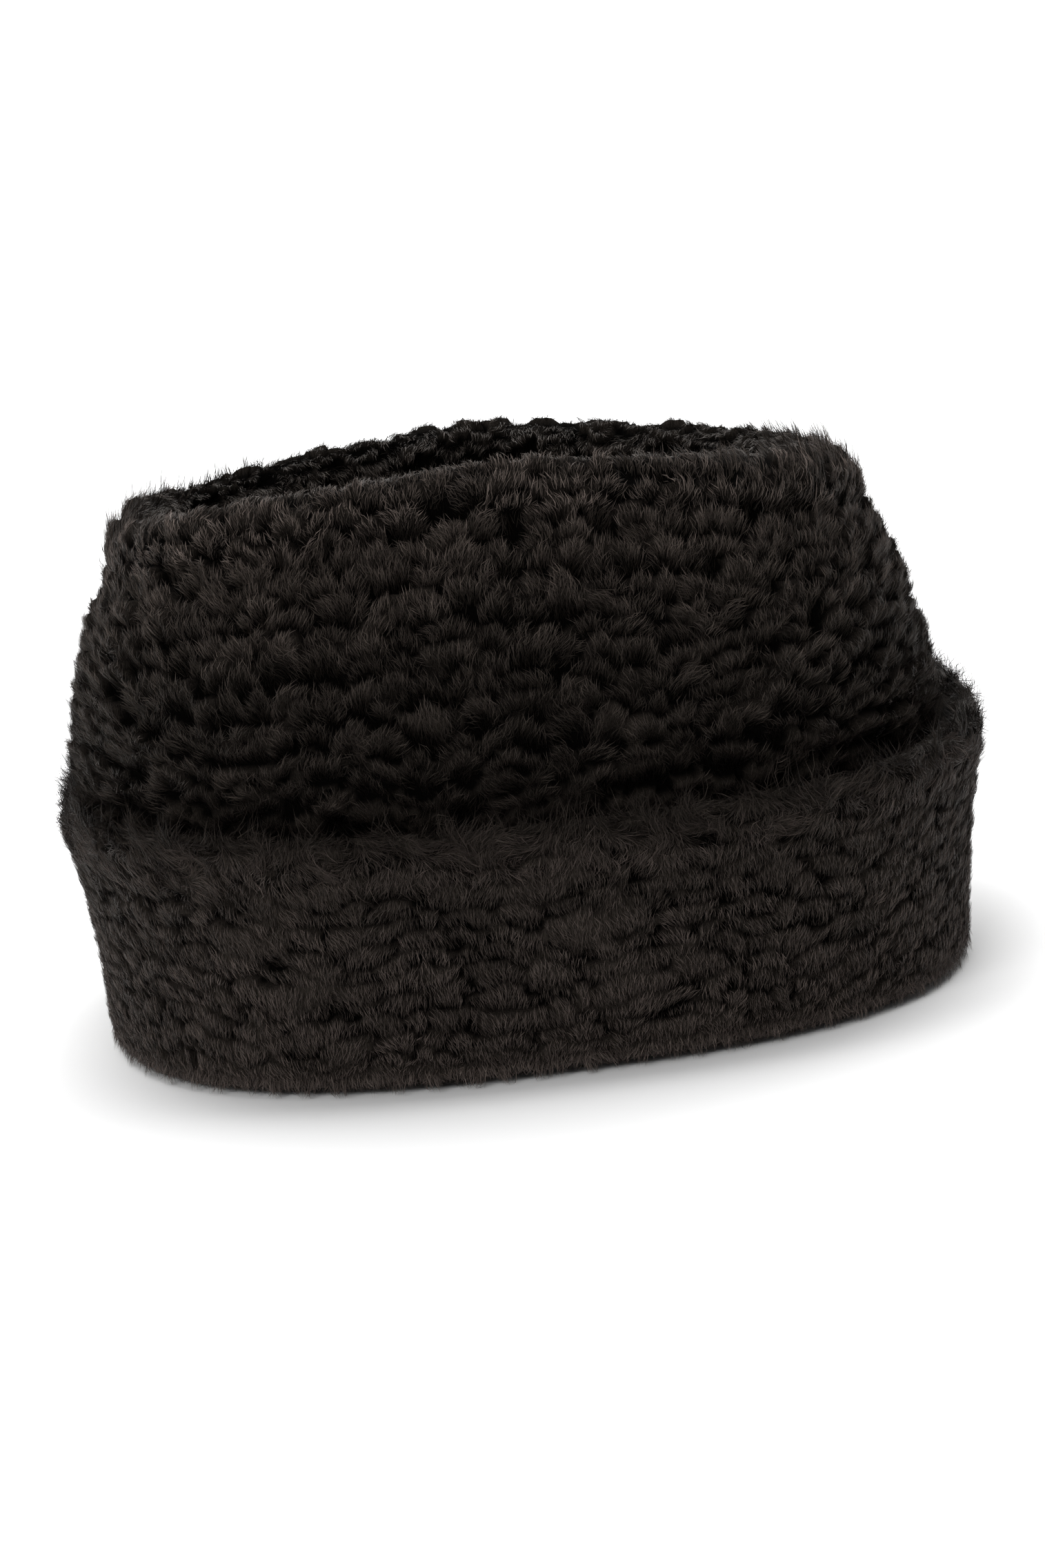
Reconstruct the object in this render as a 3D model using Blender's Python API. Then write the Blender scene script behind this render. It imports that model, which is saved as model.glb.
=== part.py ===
"""Karakul hat: a tall crown with a sunken tip and a turned-up cuff, all of curled pile fabric.

Metres, +Z up. The hat stands on its rim at z = 0 with its front towards -Y, and the origin
is the middle of its footprint. Tables are in millimetres and MM turns them into metres.

Each piece is one closed section, spun round the hat's axis at unit radius and then pressed
into the hat's oval form. Bearings count from +X (0) through the back (90) to -X (180).
"""

import math

import bmesh
import bpy
from mathutils import Vector

MM = 0.001

# Driving sizes
CREST_HEIGHT = 130.0
WALL = 9.0
SEAM_GAP = 0.4
RIM_THICKNESS = 18.0
RIM_ROLL_RISE = 13.0
RIM_FOOT = CREST_HEIGHT - RIM_ROLL_RISE
TIP_THICKNESS = 8.0
TIP_EDGE_HEIGHT = 108.0
TIP_SAG = 9.0
CUFF_HEIGHT = 58.0
BEARINGS = 64

# Outer form of the crown from the foot up, before the top is arched
FORM_COLUMNS = ("height", "half_width", "half_depth", "squareness", "lean")
CROWN_FORM = (
    (0.0, 90.5, 102.5, 2.55, 0.0),
    (20.0, 93.1, 105.1, 2.55, 0.0),
    (45.0, 97.3, 109.3, 2.6, -0.4),
    (58.0, 99.9, 111.9, 2.75, -0.8),
    (69.0, 101.2, 113.2, 2.9, -1.2),
    (81.0, 99.9, 111.9, 3.1, -1.6),
    (91.5, 97.6, 109.6, 3.2, -1.9),
    (101.0, 95.6, 107.6, 3.2, -1.9),
    (110.0, 92.6, 104.6, 3.2, -1.9),
    (118.0, 88.8, 100.8, 3.2, -1.9),
)

# How far the arched rim lies below the crest round the hat
RIM_COLUMNS = ("bearing", "drop")
RIM_DROP = (
    (0.0, 12.2),
    (45.0, 8.7),
    (90.0, 2.6),
    (135.0, 7.2),
    (180.0, 15.5),
    (225.0, 6.0),
    (270.0, 0.0),
    (315.0, 9.5),
)

# How far the cuff stands off the crown, from the foot's outer edge up and over the fold
CUFF_COLUMNS = ("stand_off", "height")
CUFF_OUTSIDE = (
    (9.9, 0.0),
    (11.4, 1.8),
    (12.0, 6.0),
    (11.5, 15.0),
    (11.0, 24.0),
    (10.6, 32.0),
    (10.4, 40.0),
    (10.5, 47.0),
    (9.9, 52.5),
    (7.6, 56.4),
    (4.6, 58.0),
    (2.0, 56.6),
)

# Heights of the rings that the crown's outside and the cuff's inside share, so that they nest
SHARED_HEIGHTS = (0.0, 10.0, 20.0, 32.0, 45.0)
CUFF_LINING_TOP = 52.0

# Height of the cuff's fold round the hat, and how much further it stands off there, as a share
FOLD_COLUMNS = ("bearing", "height", "flare")
CUFF_FOLD = (
    (0.0, 66.3, 0.18),
    (45.0, 69.3, 0.12),
    (90.0, 66.5, 0.0),
    (135.0, 61.2, -0.2),
    (180.0, 65.4, -0.3),
    (225.0, 61.2, -0.2),
    (270.0, 56.0, 0.0),
    (315.0, 59.0, 0.12),
)

# Colour, roughness and metallic of the pile
PILE_COLOUR = (0.012, 0.011, 0.010, 1.0)
PILE_ROUGHNESS = 0.75
PILE_METALLIC = 0.0


def eased(share):
    """A share from 0 to 1 that starts and ends level."""
    return share * share * (3.0 - 2.0 * share)


def form_at(height):
    """(half width, half depth, squareness, lean) of the crown's outer form at a height."""
    rows = CROWN_FORM
    height = min(max(height, rows[0][0]), rows[-1][0])
    for low, high in zip(rows, rows[1:]):
        if height <= high[0]:
            share = (height - low[0]) / (high[0] - low[0])
            return tuple(a + (b - a) * share for a, b in zip(low[1:], high[1:]))
    return rows[-1][1:]


def round_the_hat(rows, column, angle):
    """A column of a table of bearings, read at an angle along a smooth closed curve."""
    turn = (angle / math.tau) % 1.0 * len(rows)
    here = int(turn)
    share = turn - here
    a, b, c, d = (rows[(here + step) % len(rows)][column] for step in (-1, 0, 1, 2))
    slope = c - a
    bend = 2.0 * a - 5.0 * b + 4.0 * c - d
    twist = 3.0 * b - a - 3.0 * c + d
    return b + 0.5 * share * (slope + share * (bend + share * twist))


def oval_radius(angle, half_width, half_depth, squareness):
    """Distance from the axis to a rounded oval, in the direction of the angle."""
    across = abs(math.cos(angle) / half_width) ** squareness
    along = abs(math.sin(angle) / half_depth) ** squareness
    return (across + along) ** (-1.0 / squareness)


def arched(angle, radius, height):
    """The height after the top is arched: it falls away from the axis out to the rim."""
    rim = oval_radius(angle, *form_at(RIM_FOOT)[:3])
    out = min(radius / rim, 1.0) ** 2
    return height - round_the_hat(RIM_DROP, 1, angle) * out * (height / CREST_HEIGHT) ** 2


def place(angle, inset, height, form_height):
    """The point this far inside the crown's outer form as it is at form_height, in metres."""
    half_width, half_depth, squareness, lean = form_at(form_height)
    radius = oval_radius(angle, half_width - inset, half_depth - inset, squareness)
    x = radius * math.cos(angle) + lean
    y = radius * math.sin(angle)
    return Vector((x, y, arched(angle, radius, height))) * MM


def crown_section():
    """(inset, height, form height) round the wall: up outside, over the rim, down inside."""
    outside = [(0.0, h, h) for h in SHARED_HEIGHTS + (58.0, 69.0, 81.0, 91.5, 101.0, 110.0)]
    half = RIM_THICKNESS / 2.0
    steps = 8
    roll = []
    for i in range(steps + 1):
        turn = math.pi * i / steps
        inset = half - half * math.cos(turn)
        roll.append((inset, RIM_FOOT + RIM_ROLL_RISE * math.sin(turn), RIM_FOOT))
    lip = [
        (RIM_THICKNESS, TIP_EDGE_HEIGHT, RIM_FOOT),
        (RIM_THICKNESS, TIP_EDGE_HEIGHT - TIP_THICKNESS, RIM_FOOT),
    ]
    inside = [(WALL, h, h) for h in (93.0, 81.0, 69.0, 45.0, 20.0, 0.0)]
    return outside + roll + lip + inside


def cuff_section(fold, flare):
    """(inset, height) round the cuff: up outside, over the fold, down inside against the crown."""
    outside = []
    for stand_off, height in CUFF_OUTSIDE:
        share = height / CUFF_HEIGHT
        outside.append((-stand_off * (1.0 + flare * share), fold * share))
    inside = [(-SEAM_GAP, height) for height in (CUFF_LINING_TOP,) + SHARED_HEIGHTS[::-1]]
    return outside + inside


def tip_section():
    """(share of the radius, height) of the tip, from its middle out over the top and back below."""
    steps = 6
    top = []
    for i in range(steps + 1):
        share = i / steps
        top.append((share, TIP_EDGE_HEIGHT - TIP_SAG * (1.0 - eased(share))))
    below = [(share, height - TIP_THICKNESS) for share, height in reversed(top)]
    return top + below


def spun(count, closed):
    """A mesh of `count` section points spun round the axis at unit radius.

    Section point i stands at height i, so that its number can be read back. An open
    section has its two ends on the axis, which closes it there.
    """
    shape = bmesh.new()
    ring = []
    for i in range(count):
        on_axis = not closed and i in (0, count - 1)
        ring.append(shape.verts.new((0.0 if on_axis else 1.0, 0.0, float(i))))
    ends = zip(ring, ring[1:] + ring[:1]) if closed else zip(ring, ring[1:])
    edges = [shape.edges.new(pair) for pair in ends]
    bmesh.ops.spin(
        shape,
        geom=ring + edges,
        cent=(0.0, 0.0, 0.0),
        axis=(0.0, 0.0, 1.0),
        angle=math.tau,
        steps=BEARINGS,
        use_merge=True,
    )
    bmesh.ops.remove_doubles(shape, verts=shape.verts, dist=1e-4)
    return shape


def finished(name, shape, material):
    """Turns a pressed shape into a named object whose faces point out."""
    bmesh.ops.recalc_face_normals(shape, faces=shape.faces)
    mesh = bpy.data.meshes.new(name)
    shape.to_mesh(mesh)
    shape.free()
    mesh.materials.append(material)
    mesh.shade_smooth()
    mesh.set_sharp_from_angle(angle=math.radians(50.0))
    return bpy.data.objects.new(name, mesh)


def pile_fabric(name):
    material = bpy.data.materials.new(name)
    material.use_nodes = True
    shader = material.node_tree.nodes["Principled BSDF"]
    shader.inputs["Base Color"].default_value = PILE_COLOUR
    shader.inputs["Roughness"].default_value = PILE_ROUGHNESS
    shader.inputs["Metallic"].default_value = PILE_METALLIC
    return material


def crown_side():
    """The side band: a wall that rolls over at the rim and turns down to meet the tip."""
    section = crown_section()
    shape = spun(len(section), closed=True)
    for vert in shape.verts:
        inset, height, form_height = section[round(vert.co.z)]
        vert.co = place(math.atan2(vert.co.y, vert.co.x), inset, height, form_height)
    return finished("crown_side", shape, pile_fabric("crown_pile"))


def crown_tip():
    """The oval top panel, sunk below the rim and dished."""
    section = tip_section()
    half_width, half_depth, squareness, lean = form_at(RIM_FOOT)
    edge = RIM_THICKNESS + SEAM_GAP
    shape = spun(len(section), closed=False)
    for vert in shape.verts:
        share, height = section[round(vert.co.z)]
        angle = math.atan2(vert.co.y, vert.co.x)
        radius = share * oval_radius(angle, half_width - edge, half_depth - edge, squareness)
        x = radius * math.cos(angle) + lean
        vert.co = Vector((x, radius * math.sin(angle), arched(angle, radius, height))) * MM
    return finished("crown_tip", shape, pile_fabric("tip_pile"))


def cuff():
    """The turned-up band, a folded double thickness that hugs the crown's foot."""
    count = len(CUFF_OUTSIDE) + 1 + len(SHARED_HEIGHTS)
    shape = spun(count, closed=True)
    for vert in shape.verts:
        angle = math.atan2(vert.co.y, vert.co.x)
        fold, flare = (round_the_hat(CUFF_FOLD, column, angle) for column in (1, 2))
        inset, height = cuff_section(fold, flare)[round(vert.co.z)]
        vert.co = place(angle, inset, height, height)
    return finished("cuff", shape, pile_fabric("cuff_pile"))


def centre_on_footprint(pieces):
    """Moves the meshes so that the middle of the hat's box, seen from above, is the origin."""
    points = [vert.co for piece in pieces for vert in piece.data.vertices]
    middle = [(min(p[i] for p in points) + max(p[i] for p in points)) / 2.0 for i in (0, 1)]
    for piece in pieces:
        for vert in piece.data.vertices:
            vert.co -= Vector((middle[0], middle[1], 0.0))


def main():
    for old in list(bpy.data.objects):
        bpy.data.objects.remove(old)
    collection = bpy.data.collections.new("karakul_hat")
    bpy.context.scene.collection.children.link(collection)
    pieces = (crown_side(), crown_tip(), cuff())
    centre_on_footprint(pieces)
    for piece in pieces:
        collection.objects.link(piece)


main()
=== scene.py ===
"""Karakul hat: its curled black pile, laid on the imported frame.

Lengths are in millimetres, and MM turns them into the frame's metres. Bearings count from
+X (0) through the back (90) to -X (180). A place on a piece is (along, up): millimetres
round the hat from bearing 0, and millimetres up the cloth from the piece's foot.
"""

import math

import bmesh
import bpy
import numpy as np
from mathutils import Matrix, Vector


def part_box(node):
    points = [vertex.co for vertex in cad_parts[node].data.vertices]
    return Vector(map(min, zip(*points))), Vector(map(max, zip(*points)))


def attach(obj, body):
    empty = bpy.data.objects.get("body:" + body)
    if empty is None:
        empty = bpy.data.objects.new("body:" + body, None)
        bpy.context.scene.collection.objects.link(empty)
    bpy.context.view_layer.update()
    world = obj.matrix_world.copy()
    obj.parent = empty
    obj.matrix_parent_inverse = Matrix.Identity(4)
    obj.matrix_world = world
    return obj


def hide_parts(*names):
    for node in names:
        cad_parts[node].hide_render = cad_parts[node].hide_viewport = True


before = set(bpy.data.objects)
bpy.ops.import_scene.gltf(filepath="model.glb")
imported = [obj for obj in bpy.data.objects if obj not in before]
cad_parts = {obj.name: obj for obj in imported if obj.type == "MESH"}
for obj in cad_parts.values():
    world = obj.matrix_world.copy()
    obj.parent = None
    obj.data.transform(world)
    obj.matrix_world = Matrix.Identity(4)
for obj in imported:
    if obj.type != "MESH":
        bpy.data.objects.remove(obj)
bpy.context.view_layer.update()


# The camera stands before the hat, a little to its right, and looks down on it with a slight
# roll, as the photo was taken. Its place was fitted to the outline of the hat.
EYE_M = (-0.0570, -0.8048, 0.1749)
TURN_RIGHT, LOOK_DOWN, ROLL = (math.radians(a) for a in (4.192, 9.144, -6.682))
LONG_SIDE = 36.0
FOCAL_LENGTH = 77.48

camera_data = bpy.data.cameras.new("camera")
camera_data.sensor_fit = "VERTICAL"
camera_data.sensor_height = LONG_SIDE
camera_data.lens = FOCAL_LENGTH
camera_data.clip_start = 0.01
camera = bpy.data.objects.new("camera", camera_data)
camera.matrix_world = (
    Matrix.Translation(EYE_M)
    @ Matrix.Rotation(-TURN_RIGHT, 4, "Z")
    @ Matrix.Rotation(math.pi / 2.0 - LOOK_DOWN, 4, "X")
    @ Matrix.Rotation(ROLL, 4, "Z")
)
bpy.context.scene.collection.objects.link(camera)
bpy.context.scene.camera = camera


# The crown's side is one band of curled pile fabric, sewn into a tapering oval that rolls over
# at the top rim and turns down to the tip. Its backing shows only inside the hat.
MM = 0.001
CREST = 130.0
WALL = 9.0
RIM_THICKNESS = 18.0
RIM_ROLL_RISE = 13.0
RIM_FOOT = CREST - RIM_ROLL_RISE
TIP_EDGE = 108.0
TIP_THICKNESS = 8.0
RIM_LEAN = -1.9
# height, half width, half depth, squareness, lean
CROWN_FORM = np.array((
    (0.0, 90.5, 102.5, 2.55, 0.0),
    (20.0, 93.1, 105.1, 2.55, 0.0),
    (45.0, 97.3, 109.3, 2.6, -0.4),
    (58.0, 99.9, 111.9, 2.75, -0.8),
    (69.0, 101.2, 113.2, 2.9, -1.2),
    (81.0, 99.9, 111.9, 3.1, -1.6),
    (91.5, 97.6, 109.6, 3.2, -1.9),
    (101.0, 95.6, 107.6, 3.2, -1.9),
    (110.0, 92.6, 104.6, 3.2, -1.9),
    (118.0, 88.8, 100.8, 3.2, RIM_LEAN),
))
# How far the arched rim lies below the crest, every 45 degrees from bearing 0
RIM_DROP = np.array((12.2, 8.7, 2.6, 7.2, 15.5, 6.0, 0.0, 9.5))
tip_low, tip_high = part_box("crown_tip")
FORM_CENTRE = (
    (tip_low.x + tip_high.x) / 2.0 / MM - RIM_LEAN,
    (tip_low.y + tip_high.y) / 2.0 / MM,
)
BEARING_STEPS = 1441


def form_at(height):
    """(half width, half depth, squareness, lean) of the crown's outer form at each height."""
    return tuple(np.interp(height, CROWN_FORM[:, 0], CROWN_FORM[:, i]) for i in range(1, 5))


def round_the_hat(values, bearing):
    """Values that stand every equal step round the hat, read along a smooth closed curve."""
    turn = (bearing / math.tau) % 1.0 * len(values)
    here = np.floor(turn).astype(int)
    share = turn - here
    a, b, c, d = (values[(here + step) % len(values)] for step in (-1, 0, 1, 2))
    bend = 2.0 * a - 5.0 * b + 4.0 * c - d
    twist = 3.0 * b - a - 3.0 * c + d
    return b + 0.5 * share * (c - a + share * (bend + share * twist))


def oval_radius(bearing, half_width, half_depth, squareness):
    """Distance from the axis to a rounded oval."""
    across = np.abs(np.cos(bearing) / half_width) ** squareness
    deep = np.abs(np.sin(bearing) / half_depth) ** squareness
    return (across + deep) ** (-1.0 / squareness)


def arched(bearing, radius, height):
    """The height after the top is arched: it falls away from the axis out to the rim."""
    rim = oval_radius(bearing, *form_at(RIM_FOOT)[:3])
    out = np.minimum(radius / rim, 1.0) ** 2
    return height - round_the_hat(RIM_DROP, bearing) * out * (height / CREST) ** 2


def pressed(bearing, inset, height, form_height):
    """Points this far inside the crown's outer form as it is at form_height."""
    half_width, half_depth, squareness, lean = form_at(form_height)
    radius = oval_radius(bearing, half_width - inset, half_depth - inset, squareness)
    x = radius * np.cos(bearing) + lean + FORM_CENTRE[0]
    y = radius * np.sin(bearing) + FORM_CENTRE[1]
    return np.stack((x, y, arched(bearing, radius, height)), axis=-1)


def bearings_round(half_width, half_depth, squareness):
    """Bearings round an oval and the length along it up to each, for reading one from the other."""
    bearing = np.linspace(0.0, math.tau, BEARING_STEPS)
    radius = oval_radius(bearing, half_width, half_depth, squareness)
    x, y = radius * np.cos(bearing), radius * np.sin(bearing)
    steps = np.hypot(np.diff(x), np.diff(y))
    return bearing, np.concatenate(((0.0,), np.cumsum(steps)))


def lengths_of(points):
    """Length along a section from its first point up to each."""
    points = np.array(points)
    return np.concatenate(((0.0,), np.cumsum(np.hypot(*np.diff(points, axis=0).T))))


CROWN_BEARINGS, CROWN_ALONG = bearings_round(*form_at(81.0)[:3])
CROWN_GIRTH = CROWN_ALONG[-1]
outside = [(0.0, h, h) for h in CROWN_FORM[:-1, 0]]
roll_turns = np.linspace(0.0, math.pi, 25)
roll = [
    (RIM_THICKNESS / 2.0 * (1.0 - math.cos(t)), RIM_FOOT + RIM_ROLL_RISE * math.sin(t), RIM_FOOT)
    for t in roll_turns
]
lip = [(RIM_THICKNESS, TIP_EDGE, RIM_FOOT)]
SIDE_SECTION = np.array(outside + roll + lip)
SIDE_UP = lengths_of([(form_at(f)[0] - inset, h) for inset, h, f in SIDE_SECTION])
ROLL_START = SIDE_UP[len(outside)]
ROLL_END = SIDE_UP[-2]
SIDE_TOP = SIDE_UP[-1]


def side_at(along, up):
    """Points on the cloth of the crown's side, from its foot up and over the rim to the tip."""
    bearing = np.interp(along % CROWN_GIRTH, CROWN_ALONG, CROWN_BEARINGS)
    inset, height, form_height = (np.interp(up, SIDE_UP, column) for column in SIDE_SECTION.T)
    return pressed(bearing, inset, height, form_height)


RIPPLE_WAVES = 9


def ripples(seed, girth, longest, shortest):
    """A smooth random wave from about -1 to 1 over (along, up) that closes round the hat."""
    draw = np.random.default_rng(seed)
    turns = draw.integers(round(girth / longest), round(girth / shortest) + 1, RIPPLE_WAVES)
    rates = draw.uniform(-1.0, 1.0, RIPPLE_WAVES) / shortest
    phases = draw.uniform(0.0, math.tau, RIPPLE_WAVES)

    def wave(along, up):
        total = 0.0
        for turn, rate, phase in zip(turns, rates, phases):
            total = total + np.sin(math.tau * (turn * along / girth + rate * up) + phase)
        return total / math.sqrt(RIPPLE_WAVES)

    return wave


# How far the locks lap at their sides, as a share, and how far long and short waves bend them
LOCK_LAP = 1.2
LOCK_WARP = 1.8
LOCK_WOBBLE = 0.9
WARP_LENGTHS = ((120.0, 30.0), (150.0, 40.0))
WOBBLE_LENGTHS = ((40.0, 11.0), (34.0, 9.0))
LOCK_TONES = (0.72, 1.12)
FRINGE_DEPTH = 1.6
FRINGE_THINNING = 0.3
FAR_OFF = 1e9


class Locks:
    """Overlapping locks in loose rows: each ends above in an arched fringe and is rooted below.

    The locks lap like tiles: a place belongs to the lock whose fringe is the next one above it.
    pitch is the height of a row, and widths, arch and fan are the least and most of any lock.
    jitter and lean say how far the locks stray, and lows is the least that one rises. fade is
    (depth where a lock ends, length over which it thins), notch is how much thinner a lock is
    at its sides, and gap is the width of the crease over the next fringe down.
    """

    def __init__(
        self, seed, girth, top, pitch, widths, arch, jitter, lean, fan, lows, fade, notch, gap
    ):
        draw = np.random.default_rng(seed)
        self.girth, self.pitch, self.rows = girth, pitch, int(top / pitch) + 3
        self.shift = draw.uniform(0.0, girth, self.rows)
        self.first, self.count = [], []
        starts, halves = [], []
        for row in range(self.rows):
            share = draw.uniform(*widths, round(2.0 * girth / sum(widths)))
            share *= girth / share.sum()
            self.first.append(len(halves))
            self.count.append(len(share))
            starts.extend(np.cumsum(share) - share + row * 2.0 * girth)
            halves.extend(share / 2.0)
        self.first, self.count = np.array(self.first), np.array(self.count)
        self.start, self.half = np.array(starts), np.array(halves)
        locks = len(halves)
        self.arch = draw.uniform(*arch, locks) * np.sqrt(self.half / self.half.mean())
        self.lift = draw.normal(0.0, jitter, locks)
        self.lean = draw.normal(0.0, lean, locks)
        self.fan = draw.uniform(*fan, locks)
        self.rise = draw.uniform(lows, 1.0, locks)
        self.tone = draw.uniform(*LOCK_TONES, locks)
        self.fade, self.notch, self.gap = fade, notch, gap
        self.warp_along = ripples(seed + 1, girth, *WARP_LENGTHS[0])
        self.warp_up = ripples(seed + 2, girth, *WARP_LENGTHS[1])
        self.wobble_along = ripples(seed + 3, girth, *WOBBLE_LENGTHS[0])
        self.wobble_up = ripples(seed + 4, girth, *WOBBLE_LENGTHS[1])

    def read(self, along, up):
        """(lock, across, below, above) at each place.

        across runs from -1 to 1 over the lock, below counts down from its fringe, and above
        counts up from the next fringe down.
        """
        warp_along = LOCK_WARP * self.warp_along(along, up)
        warp_up = LOCK_WARP * self.warp_up(along, up)
        warp_along = warp_along + LOCK_WOBBLE * self.wobble_along(along, up)
        warp_up = warp_up + LOCK_WOBBLE * self.wobble_up(along, up)
        along, up = along + warp_along, up + warp_up
        nearest = np.full(along.shape, FAR_OFF)
        above = np.full(along.shape, FAR_OFF)
        lock = np.zeros(along.shape, int)
        across = np.zeros(along.shape)
        row_here = np.floor(up / self.pitch).astype(int)
        for row_step in (-1, 0, 1, 2):
            row = np.clip(row_here + row_step, 0, self.rows - 1)
            place = (along - self.shift[row]) % self.girth
            here = np.searchsorted(self.start, row * 2.0 * self.girth + place, side="right") - 1
            for lock_step in (-1, 0, 1):
                k = self.first[row] + (here - self.first[row] + lock_step) % self.count[row]
                middle = self.start[k] - row * 2.0 * self.girth + self.half[k]
                off = (place - middle + self.girth / 2.0) % self.girth - self.girth / 2.0
                s = off / (self.half[k] * LOCK_LAP)
                fringe = row * self.pitch + self.lift[k] - self.arch[k] * s * s
                below = fringe - up
                covered = np.abs(s) <= 1.0
                above = np.where(covered & (below < 0.0), np.minimum(above, -below), above)
                better = covered & (below >= 0.0) & (below < nearest)
                nearest = np.where(better, below, nearest)
                lock = np.where(better, k, lock)
                across = np.where(better, s, across)
        return lock, across, nearest, above

    def full(self, lock, across, below, above):
        """How full the pile is, from 0 to 1, at a place of a lock."""
        end, thinning = self.fade
        deep = np.clip((below - (end - thinning)) / thinning, 0.0, 1.0)
        tip = np.clip(1.0 - below / FRINGE_DEPTH, 0.0, 1.0)
        body = (1.0 - deep ** 1.5) * (1.0 - FRINGE_THINNING * tip * tip)
        body = body * (1.0 - self.notch * across ** 4)
        return self.rise[lock] * body * np.clip(above / self.gap, 0.0, 1.0)


CURLS = {
    "pitch": 5.2,
    "widths": (4.5, 10.5),
    "arch": (1.2, 4.2),
    "jitter": 1.3,
    "lean": 0.28,
    "fan": (0.1, 0.7),
    "lows": 0.5,
    "fade": (6.2, 5.4),
    "notch": 0.3,
    "gap": 0.3,
}
CURL_RISE = 5.2
CURL_SINK = 4.2
# Below this the cloth lies bare behind the cuff, and sunk a little under the pile
PILE_START = 50.0
PILE_EASE = 8.0
BARE_SINK = 0.2
# How much flatter the pile lies on the rim, every 22.5 degrees from bearing 0: below 0, fuller
RIM_FLAT = np.array((
    0.6, 1.6, 2.3, 1.0, 0.2, 2.3, 3.4, -1.0, -1.8, 1.0, 1.7, 1.5, 1.3, 1.0, 0.8, 0.5,
))
# The same for the shoulder under the rim
SHOULDER_FLAT = np.array((0.0, 0.0, 0.0, 0.8, 4.4, 1.0, 0.0, 0.0))
# How much of its height the pile loses on the rim, and how far it sinks less there
RIM_LOSS = 0.15
RIM_LESS_SUNK = 2.1
SHOULDER_UP = ROLL_START + 5.0
SHOULDER_SPREAD = 8.0
crown_curls = Locks(11, CROWN_GIRTH, SIDE_TOP, **CURLS)


def side_stand(full, along, up):
    """How far the body of the pile stands off the cloth of the crown's side."""
    on_rim = np.clip((up - ROLL_START + 4.0) / 8.0, 0.0, 1.0)
    rise = CURL_RISE * (1.0 - RIM_LOSS * on_rim)
    bearing = np.interp(along % CROWN_GIRTH, CROWN_ALONG, CROWN_BEARINGS)
    sink = CURL_SINK - (RIM_LESS_SUNK - round_the_hat(RIM_FLAT, bearing)) * on_rim
    at_shoulder = np.exp(-((up - SHOULDER_UP) / SHOULDER_SPREAD) ** 2)
    sink = sink + at_shoulder * round_the_hat(SHOULDER_FLAT, bearing)
    shown = np.clip((up - PILE_START) / PILE_EASE, 0.0, 1.0)
    return shown * (full * rise - sink) - (1.0 - shown) * BARE_SINK


def spun_ring(count, around, closed):
    """A bmesh of `count` section points spun at unit radius: point i stands at height i."""
    shape = bmesh.new()
    ring = []
    for i in range(count):
        on_axis = not closed and i in (0, count - 1)
        ring.append(shape.verts.new((0.0 if on_axis else 1.0, 0.0, float(i))))
    ends = zip(ring, ring[1:] + ring[:1]) if closed else zip(ring, ring[1:])
    edges = [shape.edges.new(pair) for pair in ends]
    bmesh.ops.spin(
        shape,
        geom=ring + edges,
        cent=(0.0, 0.0, 0.0),
        axis=(0.0, 0.0, 1.0),
        angle=math.tau,
        steps=around,
        use_merge=True,
    )
    bmesh.ops.remove_doubles(shape, verts=shape.verts, dist=1e-4)
    return shape


def ring_places(shape, girth):
    """(section point, along) of each vertex of a spun ring."""
    points = np.array([vert.co for vert in shape.verts])
    along = (np.arctan2(points[:, 1], points[:, 0]) / math.tau % 1.0) * girth
    return np.rint(points[:, 2]).astype(int), along


def finished(name, shape, points, full, material):
    """Moves a bmesh's vertices to the points and hands it over as a piece of the hat.

    How full the pile is at each vertex stays on it as the attribute "full".
    """
    for vert, point in zip(shape.verts, points * MM):
        vert.co = point
    bmesh.ops.recalc_face_normals(shape, faces=shape.faces)
    mesh = bpy.data.meshes.new(name)
    shape.to_mesh(mesh)
    shape.free()
    mesh.attributes.new("full", "FLOAT", "POINT").data.foreach_set("value", full.astype(np.float32))
    mesh.materials.append(material)
    mesh.shade_smooth()
    piece = bpy.data.objects.new(name, mesh)
    bpy.context.scene.collection.objects.link(piece)
    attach(piece, "root")
    return piece


UNDER_DARK = (0.0026, 0.0020, 0.0014, 1.0)
UNDER_LIGHT = (0.0340, 0.0282, 0.0238, 1.0)
UPRIGHT_GRAIN = (4200.0, 4200.0, 500.0)


def outward(surface, along, up):
    """(points, normals) of a cloth at each place."""
    step = 0.6
    round_way = surface(along + step, up) - surface(along - step, up)
    up_way = surface(along, up + step) - surface(along, up - step)
    normal = np.cross(round_way, up_way)
    normal /= np.linalg.norm(normal, axis=1, keepdims=True) + 1e-9
    return surface(along, up), normal


def new_group(name, inputs, outputs):
    """(group, its input node, its output node) of a shader node group with named sockets."""
    group = bpy.data.node_groups.new(name, "ShaderNodeTree")
    for way, sockets in (("INPUT", inputs), ("OUTPUT", outputs)):
        for socket, kind in sockets:
            group.interface.new_socket(socket, in_out=way, socket_type="NodeSocket" + kind)
    return group, group.nodes.new("NodeGroupInput"), group.nodes.new("NodeGroupOutput")


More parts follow.
